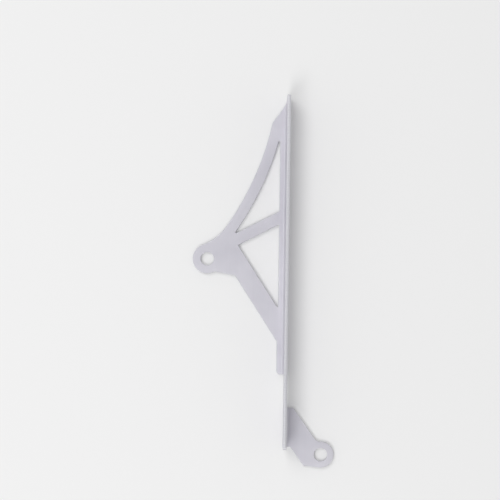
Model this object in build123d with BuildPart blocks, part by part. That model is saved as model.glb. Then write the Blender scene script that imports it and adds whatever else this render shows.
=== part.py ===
"""A motorcycle chain guard, cut from one aluminium sheet and folded along one line.

The side plate and the lug lie flat on XY, one on each side of the fold. The web stands up
between them. The origin is the axis of the ear's hole at the sheet's underside, +Y runs
along the fold towards the tip, +X points from the ear to the web and +Z up the web.
"""

from math import cos, isclose, pi, radians, sin, sqrt
import os

from build123d import *

# Sheet and fold
sheet = 3.0
inner_bend_radius = 2.0
neutral_share = 0.44
edge_break = 0.3

# Web, the long wall over the chain
web_height = 30.0
web_outer_x = 70.0
web_top_y = 140.6
web_bottom_y = -161.5
web_corner_radius = 2.0
relief_depth = 1.5
relief_radius = 1.0
tip_run = 0.8
tip_radius = 1.5

# Ear, the mounting eye at the side plate's outer end
ear_hole_diameter = 11.5
ear_radius = 12.6
ear_sweep_radius = 45.0
chin_depth = 9.6
chin_angle = -10.3

# Curved arm, from the ear up to the tip
arm_radius = 252.0
arm_width = 9.3
arm_angle = 48.3
arm_offset = 4.7
shoulder_y = 118.2
shoulder_radius = 4.0

# Cross strut, brace and rail, round the two windows
strut_width = 10.0
strut_angle = 27.5
strut_y = 36.0
brace_width = 16.2
brace_angle = 33.0
brace_foot_y = -42.2
rail_width = 8.4
window_corner_radius = 0.65

# Tail, the narrow strip below the brace
tail_width = 9.2
tail_end_y = -99.1
tail_corner_radius = 3.5
notch_radius = 1.8

# Lug, the mounting eye on the other side of the fold
lug_hole_diameter = 11.5
lug_reach = 30.0
lug_drop = 6.4
lug_radius = 11.2
lug_fold_length = 33.8
lug_root = 3.9
lug_toe = 1.7
lug_arm_angle = -54.5
lug_base_angle = -6.0
lug_neck_radius = 5.0
lug_heel_radius = 3.0
lug_shoulder_radius = 1.0

# Places that follow from the sizes above
outer_bend_radius = inner_bend_radius + sheet
web_inner_x = web_outer_x - sheet
side_bend_x = web_inner_x - inner_bend_radius
lug_bend_x = web_outer_x + inner_bend_radius
bend_axis_z = outer_bend_radius
rail_x = web_outer_x - rail_width
tail_x = web_outer_x - tail_width
lug_top_y = web_bottom_y + lug_fold_length
ear = (0.0, 0.0)
lug = (web_outer_x + lug_reach, web_bottom_y - lug_drop)


def along(start, angle, distance):
    """The point at a distance from start, in a direction in degrees from +X."""
    return (
        start[0] + distance * cos(radians(angle)),
        start[1] + distance * sin(radians(angle)),
    )


def meet(first, first_angle, second, second_angle):
    """The crossing of two lines, each given by a point and its angle from +X."""
    gap_x, gap_y = second[0] - first[0], second[1] - first[1]
    turn = sin(radians(second_angle - first_angle))
    reach = gap_x * sin(radians(second_angle)) - gap_y * cos(radians(second_angle))
    return along(first, first_angle, reach / turn)


def nearest(sketch, point):
    """The sketch's corner that lies nearest to a point."""
    return sketch.vertices().sort_by_distance((*point, 0))[0]


def on_ring(sketch, centre, radius):
    """The sketch's corners on a mounting eye's rim, from the lowest to the highest."""
    rim = [v for v in sketch.vertices() if abs(abs(v.center() - Vector(*centre, 0)) - radius) < 0.01]
    return ShapeList(rim).sort_by(Axis.Y)


# Curved arm: two arcs about one centre, which the outer edge carries on to the ear
arm_centre = along(ear, arm_angle + 90, arm_radius + arm_offset)
arm_foot = along(ear, arm_angle + 90, arm_offset)
shoulder_x = arm_centre[0] + sqrt(arm_radius**2 - (shoulder_y - arm_centre[1]) ** 2)
shoulder = (shoulder_x, shoulder_y)

# Tip: one straight cut in the flat sheet, which folding carries round the bend and up the web
bend_length = (inner_bend_radius + neutral_share * sheet) * pi / 2
tip_slope = (web_top_y - shoulder_y) / (side_bend_x - shoulder_x + bend_length + tip_run)
tip_bend_y = shoulder_y + tip_slope * (side_bend_x - shoulder_x)
tip_web_y = tip_bend_y + tip_slope * bend_length
quarter_arc_reach = 4 / 3 * (sqrt(2) - 1)

# Brace, chin and strut: straight edges, each a point and an angle from +X
brace_line = brace_angle - 90
brace_foot = (rail_x, brace_foot_y)
brace_outside = along(brace_foot, brace_line - 90, brace_width)
chin_start = along(ear, chin_angle - 90, chin_depth)
elbow = meet(chin_start, chin_angle, brace_outside, brace_line)
tail_top = meet(brace_outside, brace_line, (tail_x, 0), 90)
strut_half_rise = strut_width / 2 / cos(radians(strut_angle))
strut_top = (rail_x, strut_y + strut_half_rise)
strut_under = (rail_x, strut_y - strut_half_rise)

# Web's corners, along the fold and up
web_tip = (web_top_y, bend_axis_z + tip_run)
web_top = (web_top_y, web_height)
web_bottom = (web_bottom_y, web_height)
relief_start = (tail_end_y, bend_axis_z + relief_depth)
relief_end = (lug_top_y, bend_axis_z + relief_depth)

# Lug's edges
lug_shoulder = (lug_bend_x + lug_root, lug_top_y)
lug_inside = meet(lug_shoulder, lug_arm_angle, lug, lug_arm_angle + 90)
lug_start = (lug_bend_x + lug_toe, web_bottom_y)
lug_base = along(lug, lug_base_angle - 90, lug_radius)
lug_heel = meet(lug_start, lug_arm_angle, lug_base, lug_base_angle)


def bend_edge(radius):
    """The tip cut's line round the bend, at one distance from its axis, smooth with both plates."""
    reach = quarter_arc_reach * radius
    return Bezier(
        (side_bend_x, tip_bend_y, bend_axis_z - radius),
        (side_bend_x + reach, tip_bend_y + tip_slope * reach, bend_axis_z - radius),
        (side_bend_x + radius, tip_web_y - tip_slope * reach, bend_axis_z - reach),
        (side_bend_x + radius, tip_web_y, bend_axis_z),
    )


def is_seam(edge):
    """True for a line on which a bend starts or ends."""
    middle = edge.center()
    on_plate = isclose(middle.X, side_bend_x) or isclose(middle.X, lug_bend_x)
    return on_plate or isclose(middle.Z, bend_axis_z)


def runs_through(edge):
    """True for an edge that goes through the sheet from one face to the other."""
    return isclose(edge.length, sheet, rel_tol=0.0001)


with BuildPart() as guard_plate:
    # The bend below the side plate, and the sloped cut that runs round it at the tip
    with BuildSketch(Plane.YZ.offset(side_bend_x)):
        with Locations((tail_end_y, 0)):
            Rectangle(web_top_y - tail_end_y, sheet, align=(Align.MIN, Align.MIN))
    revolve(axis=Axis((side_bend_x, 0, bend_axis_z), (0, -1, 0)), revolution_arc=90)
    tip_edges = [bend_edge(inner_bend_radius / 2), bend_edge(outer_bend_radius + sheet)]
    extrude(
        Face.make_surface_from_curves(*tip_edges),
        amount=web_top_y,
        dir=(0, 1, 0),
        mode=Mode.SUBTRACT,
    )

    # The side plate: ear, curved arm, brace and tail in one outline
    with BuildSketch() as side_plan:
        with BuildLine():
            Line((side_bend_x, tail_end_y), (side_bend_x, tip_bend_y))
            Line((side_bend_x, tip_bend_y), shoulder)
            RadiusArc(shoulder, arm_foot, arm_radius)
            Polyline(
                arm_foot, chin_start, elbow, tail_top, (tail_x, tail_end_y), (side_bend_x, tail_end_y)
            )
        make_face()
        with Locations(ear):
            Circle(ear_radius)
        fillet(on_ring(side_plan, ear, ear_radius)[-1], ear_sweep_radius)
        fillet([on_ring(side_plan, ear, ear_radius)[0], nearest(side_plan, elbow)], notch_radius)
        fillet(nearest(side_plan, tail_top), notch_radius)
        fillet(nearest(side_plan, shoulder), shoulder_radius)
        fillet(nearest(side_plan, (tail_x, tail_end_y)), tail_corner_radius)
    extrude(amount=sheet)

    # The upper window follows the curved arm, the lower one is a plain triangle
    with BuildSketch() as upper_window:
        with BuildLine():
            strut_end = meet(strut_top, strut_angle, ear, 90)
            Polyline((rail_x, shoulder_y), strut_top, strut_end, close=True)
        make_face()
        with Locations(arm_centre):
            Circle(arm_radius + arm_width, mode=Mode.SUBTRACT)
        fillet(upper_window.vertices(), window_corner_radius)
    extrude(amount=sheet, mode=Mode.SUBTRACT)
    with BuildSketch() as lower_window:
        with BuildLine():
            window_corner = meet(strut_under, strut_angle, brace_foot, brace_line)
            Polyline(strut_under, brace_foot, window_corner, close=True)
        make_face()
        fillet(lower_window.vertices(), window_corner_radius)
    extrude(amount=sheet, mode=Mode.SUBTRACT)

    # The web: its corner at the tip follows the cut, and a relief notch parts the two bends
    with BuildSketch(Plane.YZ.offset(web_inner_x)) as web_side:
        with BuildLine():
            Polyline(
                (web_bottom_y, bend_axis_z),
                (lug_top_y, bend_axis_z),
                relief_end,
                relief_start,
                (tail_end_y, bend_axis_z),
                (tip_web_y, bend_axis_z),
                web_tip,
                web_top,
                web_bottom,
                close=True,
            )
        make_face()
        fillet([nearest(web_side, corner) for corner in (web_top, web_bottom)], web_corner_radius)
        fillet([nearest(web_side, corner) for corner in (relief_start, relief_end)], relief_radius)
        fillet(nearest(web_side, web_tip), tip_radius)
    extrude(amount=sheet)

    # The lug and the bend that turns it away from the side plate
    with BuildSketch(Plane.YZ.offset(lug_bend_x)):
        with Locations((web_bottom_y, 0)):
            Rectangle(lug_top_y - web_bottom_y, sheet, align=(Align.MIN, Align.MIN))
    revolve(axis=Axis((lug_bend_x, 0, bend_axis_z), (0, 1, 0)), revolution_arc=90)
    with BuildSketch() as lug_plan:
        with BuildLine():
            Polyline(
                (lug_bend_x, lug_top_y),
                lug_shoulder,
                lug_inside,
                lug_base,
                lug_heel,
                lug_start,
                (lug_bend_x, web_bottom_y),
                close=True,
            )
        make_face()
        with Locations(lug):
            Circle(lug_radius)
        fillet(on_ring(lug_plan, lug, lug_radius)[-1], lug_neck_radius)
        fillet(nearest(lug_plan, lug_heel), lug_heel_radius)
        fillet(nearest(lug_plan, lug_shoulder), lug_shoulder_radius)
        fillet(nearest(lug_plan, lug_start), notch_radius)
    extrude(amount=sheet)

    # The broken edges, all round both faces of the sheet
    seams = guard_plate.edges().filter_by(Axis.Y).filter_by(is_seam)
    corners = guard_plate.edges().filter_by(runs_through)
    chamfer(guard_plate.edges() - seams - corners, edge_break)

    # The two mounting holes, cut to size last
    with Locations(ear):
        Hole(ear_hole_diameter / 2)
    with Locations(lug):
        Hole(lug_hole_diameter / 2)

guard_plate.part.label = "guard_plate"

os.makedirs("parts", exist_ok=True)
export_step(guard_plate.part, "parts/guard_plate.step")
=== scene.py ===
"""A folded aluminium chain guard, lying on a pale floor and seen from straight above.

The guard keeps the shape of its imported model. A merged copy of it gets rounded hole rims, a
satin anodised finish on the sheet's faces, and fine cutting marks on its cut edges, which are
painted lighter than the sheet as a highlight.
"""

from math import cos, pi, radians, sin

import bmesh
import bpy
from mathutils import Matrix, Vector


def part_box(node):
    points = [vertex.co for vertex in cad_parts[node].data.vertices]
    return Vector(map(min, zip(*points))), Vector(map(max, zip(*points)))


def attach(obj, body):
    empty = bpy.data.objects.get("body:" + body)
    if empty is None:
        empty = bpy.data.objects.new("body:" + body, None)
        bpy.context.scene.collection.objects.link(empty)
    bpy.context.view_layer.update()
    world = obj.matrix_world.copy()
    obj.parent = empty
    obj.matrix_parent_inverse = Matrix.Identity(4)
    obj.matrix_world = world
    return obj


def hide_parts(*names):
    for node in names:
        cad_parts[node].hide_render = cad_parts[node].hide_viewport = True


MM = 0.001
WHITE = (1.0, 1.0, 1.0, 1.0)

# Fold: where the flat plates end on each side, and the height at which the web's faces start
FOLD_LEFT = 65.0 * MM
FOLD_RIGHT = 72.0 * MM
FOLD_TOP = 5.0 * MM

# Joining of the model's loose triangles, and rounding of the sharp rims of its two holes
MERGE_DISTANCE = 0.001 * MM
SHARP_ANGLE = radians(60)
RIM_ROUND = 0.3 * MM
RIM_SEGMENTS = 3

# Finishes, in the order of their slots. The sheet's own faces point squarely away from the plate
# they are on, or in a bend hardly along the fold. Every other face is a cut edge.
SHEET, PLATE_EDGE, WEB_EDGE = range(3)
SQUARELY = 0.95
HARDLY = 0.3

# Noise: its roughness, and the values that it mostly keeps between
NOISE_ROUGHNESS = 0.6
NOISE_LOW = 0.3
NOISE_HIGH = 0.7

# Sheet's faces: tones, gloss, wide clouds, streaks from rolling along the fold, and a fine etch
SHEET_DARK = (0.585, 0.575, 0.63)
SHEET_LIGHT = (0.655, 0.645, 0.695)
SHEET_METAL = 0.7
SHEET_SMOOTHEST = 0.52
SHEET_ROUGHEST = 0.60
CLOUD_SCALE = 22.0
STREAK_SCALE = 60.0
STREAK_STRETCH = (14, 0.5, 14)
ETCH_SCALE = 2600.0
ETCH_STRENGTH = 0.35
ETCH_DEPTH = 0.03 * MM

# Cut edges: tones painted lighter than the sheet as a highlight along the rims, gloss, and cutting
# marks drawn out through the flat plates or through the web
CUT_PAINTED_HIGHLIGHT_DARK = (0.60, 0.60, 0.64)
CUT_PAINTED_HIGHLIGHT_LIGHT = (0.70, 0.70, 0.73)
CUT_METAL = 0.8
CUT_ROUGHNESS = 0.45
MARK_SCALE = 1800.0
MARK_STRENGTH = 0.4
MARK_DEPTH = 0.04 * MM
THROUGH_PLATE = (1, 1, 0.04)
THROUGH_WEB = (0.04, 1, 1)

# Floor, and the distances between which it fades into the surround
FLOOR_COLOUR = (0.86, 0.86, 0.86)
FLOOR_ROUGHNESS = 0.9
FLOOR_REACH = 6.0
FADE_START = 0.4
FADE_END = 1.8

# Camera: straight above the guard, turned by part of a degree, as the fold leans in the photograph
VIEW_CENTRE = (36.75 * MM, 8.0 * MM)
VIEW_WIDTH = 432.5 * MM
VIEW_ROLL = 0.76
CAMERA_HEIGHT = 1.6
SENSOR_WIDTH = 36.0

# Light: two soft lamps, each with its bearing and elevation in degrees and its share of a level
# surface's light, and a pale surround that is dimmer overhead. A level surface takes a third of
# the surround's brightness at the horizon and two thirds of that overhead, which comes to about 1
# with the lamps.
LAMPS = ((124.0, 55.0, 0.19), (243.0, 54.0, 0.23))
LAMP_DISTANCE = 2.5
LAMP_SIZE = 1.3
SURROUND_LOW = 0.90
SURROUND_TOP = 0.46


def add_object(name, data):
    """A new object in the scene, made from a mesh, a camera or a lamp."""
    added = bpy.data.objects.new(name, data)
    bpy.context.scene.collection.objects.link(added)
    return added


def node(tree, kind, inputs=None, **settings):
    """One shader node, with its settings and the values or links of its inputs."""
    made = tree.nodes.new(kind)
    for name, value in settings.items():
        setattr(made, name, value)
    for name, value in (inputs or {}).items():
        if isinstance(value, bpy.types.NodeSocket):
            tree.links.new(value, made.inputs[name])
        else:
            made.inputs[name].default_value = value
    return made


def new_material(name):
    """An empty node material, and the tree that fills it."""
    material = bpy.data.materials.new(name)
    material.use_nodes = True
    material.node_tree.nodes.clear()
    return material, material.node_tree


def grain(tree, scale, stretch=(1, 1, 1), detail=3.0):
    """Noise on the guard's own coordinates, drawn out along the axes of small stretch."""
    place = node(tree, "ShaderNodeTexCoord").outputs["Object"]
    drawn = node(tree, "ShaderNodeMapping", {"Vector": place, "Scale": stretch})
    noise = node(
        tree,
        "ShaderNodeTexNoise",
        {
            "Vector": drawn.outputs["Vector"],
            "Scale": scale,
            "Detail": detail,
            "Roughness": NOISE_ROUGHNESS,
        },
    )
    return noise.outputs["Fac"]


def spread(tree, noise, low, high):
    """Noise carried over to a range."""
    carried = node(
        tree,
        "ShaderNodeMapRange",
        {
            "Value": noise,
            "From Min": NOISE_LOW,
            "From Max": NOISE_HIGH,
            "To Min": low,
            "To Max": high,
        },
    )
    return carried.outputs["Result"]


def tone(tree, noise, dark, light):
    """A colour that goes from one tone to another with the noise."""
    mixed = node(
        tree,
        "ShaderNodeMix",
        {"Factor": spread(tree, noise, 0.0, 1.0), "A": (*dark, 1.0), "B": (*light, 1.0)},
        data_type="RGBA",
    )
    return mixed.outputs["Result"]


def relief(tree, noise, strength, depth):
    """The direction of a surface that the noise roughens."""
    bumps = node(
        tree,
        "ShaderNodeBump",
        {"Height": noise, "Strength": strength, "Distance": depth},
    )
    return bumps.outputs["Normal"]


def satin_anodised():
    """The sheet's faces: a fine matt etch under clear anodising, faintly cloudy."""
    material, tree = new_material("satin_anodised")
    clouds = grain(tree, CLOUD_SCALE)
    streaks = grain(tree, STREAK_SCALE, stretch=STREAK_STRETCH, detail=5.0)
    etch = grain(tree, ETCH_SCALE, detail=4.0)
    shader = node(
        tree,
        "ShaderNodeBsdfPrincipled",
        {
            "Base Color": tone(tree, clouds, SHEET_DARK, SHEET_LIGHT),
            "Metallic": SHEET_METAL,
            "Roughness": spread(tree, streaks, SHEET_SMOOTHEST, SHEET_ROUGHEST),
            "Normal": relief(tree, etch, ETCH_STRENGTH, ETCH_DEPTH),
        },
    )
    node(tree, "ShaderNodeOutputMaterial", {"Surface": shader.outputs["BSDF"]})
    return material


def cut_edge_painted_highlight(name, stretch):
    """A cut edge: painted lighter than the sheet as a highlight, with fine cutting marks that run
    through the sheet.
    """
    material, tree = new_material(name)
    marks = grain(tree, MARK_SCALE, stretch=stretch, detail=2.0)
    shader = node(
        tree,
        "ShaderNodeBsdfPrincipled",
        {
            # Painted highlight: the cut edge's tone is lighter than the sheet's
            "Base Color": tone(tree, marks, CUT_PAINTED_HIGHLIGHT_DARK, CUT_PAINTED_HIGHLIGHT_LIGHT),
            "Metallic": CUT_METAL,
            "Roughness": CUT_ROUGHNESS,
            "Normal": relief(tree, marks, MARK_STRENGTH, MARK_DEPTH),
        },
    )
    node(tree, "ShaderNodeOutputMaterial", {"Surface": shader.outputs["BSDF"]})
    return material


def finish_of(face):
    """Which finish a face takes: the sheet's, a flat plate's cut edge or the web's cut edge."""
    middle, across = face.calc_center_median(), face.normal
    if middle.z > FOLD_TOP:
        return SHEET if abs(across.x) > SQUARELY else WEB_EDGE
    if FOLD_LEFT < middle.x < FOLD_RIGHT:
        return SHEET if abs(across.y) < HARDLY else PLATE_EDGE
    return SHEET if abs(across.z) > SQUARELY else PLATE_EDGE


def merged_sheet(packed):
    """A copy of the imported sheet's mesh, its triangles joined and each face given its finish."""
    shape = bmesh.new()
    shape.from_mesh(packed.data)
    bmesh.ops.remove_doubles(shape, verts=shape.verts, dist=MERGE_DISTANCE)
    for face in shape.faces:
        face.material_index = finish_of(face)
        face.smooth = True
    mesh = bpy.data.meshes.new("guard_sheet")
    shape.to_mesh(mesh)
    shape.free()
    return mesh


def make_guard(packed):
    """The guard as it is seen: the merged sheet with its finishes and its rounded hole rims."""
    mesh = merged_sheet(packed)
    for material in (
        satin_anodised(),
        cut_edge_painted_highlight("plate_edge", stretch=THROUGH_PLATE),
        cut_edge_painted_highlight("web_edge", stretch=THROUGH_WEB),
    ):
        mesh.materials.append(material)
    guard = add_object("guard_sheet", mesh)

    rims = guard.modifiers.new("rims", "BEVEL")
    rims.width = RIM_ROUND
    rims.segments = RIM_SEGMENTS
    rims.limit_method = "ANGLE"
    rims.angle_limit = SHARP_ANGLE
    shading = guard.modifiers.new("shading", "WEIGHTED_NORMAL")
    shading.keep_sharp = True
    return guard


def looked_at(tree):
    """1 for rays by which the floor is seen, also in a glossy or clear surface, else 0."""
    rays = node(tree, "ShaderNodeLightPath").outputs
    seen = rays["Is Camera Ray"]
    for kind in ("Is Glossy Ray", "Is Transmission Ray"):
        either = node(tree, "ShaderNodeMath", {0: seen, 1: rays[kind]}, operation="MAXIMUM")
        seen = either.outputs["Value"]
    return seen


def far_off(tree):
    """0 near the guard, and 1 past the distance at which the floor has faded."""
    place = node(tree, "ShaderNodeTexCoord").outputs["Object"]
    away = node(tree, "ShaderNodeVectorMath", {0: place}, operation="LENGTH")
    fade = node(
        tree,
        "ShaderNodeMapRange",
        {"Value": away.outputs["Value"], "From Min": FADE_START, "From Max": FADE_END},
        interpolation_type="SMOOTHSTEP",
    )
    return fade.outputs["Result"]


def pale_floor():
    """A matt pale floor, which far from the guard fades into the surround."""
    material, tree = new_material("pale_floor")
    matt = node(
        tree,
        "ShaderNodeBsdfPrincipled",
        {
            "Base Color": (*FLOOR_COLOUR, 1.0),
            "Roughness": FLOOR_ROUGHNESS,
            "Specular IOR Level": 0.0,
        },
    )
    glow = node(tree, "ShaderNodeEmission", {"Color": WHITE, "Strength": SURROUND_LOW})
    share = node(
        tree,
        "ShaderNodeMath",
        {0: looked_at(tree), 1: far_off(tree)},
        operation="MULTIPLY",
    )
    mixed = node(
        tree,
        "ShaderNodeMixShader",
        {0: share.outputs["Value"], 1: matt.outputs["BSDF"], 2: glow.outputs["Emission"]},
    )
    node(tree, "ShaderNodeOutputMaterial", {"Surface": mixed.outputs["Shader"]})
    return material


def make_floor(height):
    """A wide floor under the guard."""
    shape = bmesh.new()
    bmesh.ops.create_grid(shape, x_segments=1, y_segments=1, size=FLOOR_REACH)
    bmesh.ops.translate(shape, vec=(0, 0, height), verts=shape.verts)
    mesh = bpy.data.meshes.new("floor")
    shape.to_mesh(mesh)
    shape.free()
    mesh.materials.append(pale_floor())
    floor = add_object("floor", mesh)


def make_camera():
    """A camera that looks straight down and takes in the view's width at the floor."""
    data = bpy.data.cameras.new("camera")
    data.sensor_width = SENSOR_WIDTH
    data.lens = SENSOR_WIDTH * CAMERA_HEIGHT / VIEW_WIDTH
    camera = add_object("camera", data)
    camera.location = (*VIEW_CENTRE, CAMERA_HEIGHT)
    camera.rotation_euler = (0, 0, radians(VIEW_ROLL))
    bpy.context.scene.camera = camera


def make_lamp(bearing, elevation, share):
    """A round lamp above the middle of the view, as strong as its share of the light asks."""
    turn, rise = radians(bearing), radians(elevation)
    towards = Vector((cos(turn) * cos(rise), sin(turn) * cos(rise), sin(rise)))
    data = bpy.data.lights.new("lamp", "AREA")
    data.shape = "DISK"
    data.size = LAMP_SIZE
    data.energy = share * pi**2 * LAMP_DISTANCE**2 / sin(rise)
    lamp = add_object("lamp", data)
    lamp.location = Vector((*VIEW_CENTRE, 0)) + towards * LAMP_DISTANCE
    lamp.rotation_euler = towards.to_track_quat("Z", "Y").to_euler()


def make_surround():
    """A pale surround, brightest at the horizon and dimmer overhead."""
    world = bpy.data.worlds.new("surround")
    world.use_nodes = True
    tree = world.node_tree
    tree.nodes.clear()
    towards = node(tree, "ShaderNodeTexCoord").outputs["Generated"]
    height = node(tree, "ShaderNodeSeparateXYZ", {"Vector": towards}).outputs["Z"]
    glow = node(
        tree,
        "ShaderNodeMapRange",
        {"Value": height, "To Min": SURROUND_LOW, "To Max": SURROUND_TOP},
    )
    sky = node(
        tree,
        "ShaderNodeBackground",
        {"Color": WHITE, "Strength": glow.outputs["Result"]},
    )
    node(tree, "ShaderNodeOutputWorld", {"Surface": sky.outputs["Background"]})
    bpy.context.scene.world = world


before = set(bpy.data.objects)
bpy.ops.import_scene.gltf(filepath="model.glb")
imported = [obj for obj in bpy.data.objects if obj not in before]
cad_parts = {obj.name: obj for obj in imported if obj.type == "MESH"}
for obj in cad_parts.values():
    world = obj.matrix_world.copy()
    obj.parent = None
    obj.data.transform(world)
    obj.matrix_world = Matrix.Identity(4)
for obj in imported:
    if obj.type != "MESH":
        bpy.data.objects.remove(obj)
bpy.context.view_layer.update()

guard = make_guard(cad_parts["guard_plate"])
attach(guard, "root")
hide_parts("guard_plate")

make_floor(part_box("guard_plate")[0].z)
make_camera()
for lamp in LAMPS:
    make_lamp(*lamp)
make_surround()
bpy.context.scene.view_settings.view_transform = "Standard"
